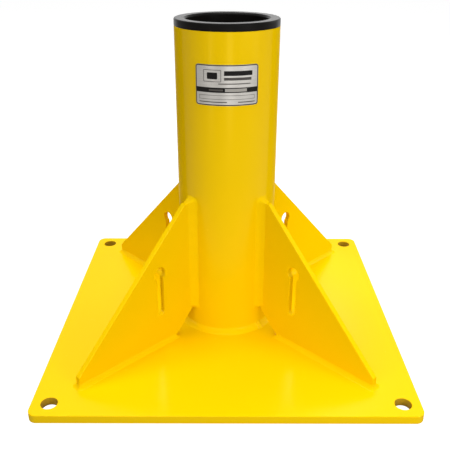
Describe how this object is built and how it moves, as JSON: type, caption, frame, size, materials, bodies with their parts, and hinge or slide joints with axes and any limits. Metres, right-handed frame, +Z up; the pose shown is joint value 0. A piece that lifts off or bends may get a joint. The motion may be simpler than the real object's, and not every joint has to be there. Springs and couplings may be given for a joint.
{
  "type": "crane pedestal base",
  "caption": "Welded steel pedestal base that anchors a small davit crane: square bolt-down plate, upright tube with a plastic mast bushing, and diagonal gussets with keyholes.",
  "frame": {"origin": "centre of the base plate's underside, on the tube's axis", "axes": "+Z up along the tube's axis, +X to the right and -Y to the front, where the nameplate is"},
  "size_m": [0.4064, 0.4064, 0.3731],
  "materials": {
    "yellow_powder_coat": "semi-gloss powder coat",
    "black_plastic": "turned, satin",
    "nameplate_metal": "brushed, with a dark printed edge"
  },
  "bodies": {
    "root": {"base_plate": "yellow_powder_coat", "mast_tube": "yellow_powder_coat", "weld_tube_to_plate": "yellow_powder_coat", "gusset_front_left": "yellow_powder_coat", "weld_gusset_front_left_to_tube": "yellow_powder_coat", "weld_gusset_front_left_to_plate": "yellow_powder_coat", "gusset_front_right": "yellow_powder_coat", "weld_gusset_front_right_to_tube": "yellow_powder_coat", "weld_gusset_front_right_to_plate": "yellow_powder_coat", "gusset_rear_left": "yellow_powder_coat", "weld_gusset_rear_left_to_tube": "yellow_powder_coat", "weld_gusset_rear_left_to_plate": "yellow_powder_coat", "gusset_rear_right": "yellow_powder_coat", "weld_gusset_rear_right_to_tube": "yellow_powder_coat", "weld_gusset_rear_right_to_plate": "yellow_powder_coat", "top_bushing": "black_plastic", "lower_bushing": "black_plastic", "nameplate": "nameplate_metal"}
  },
  "joints": []
}
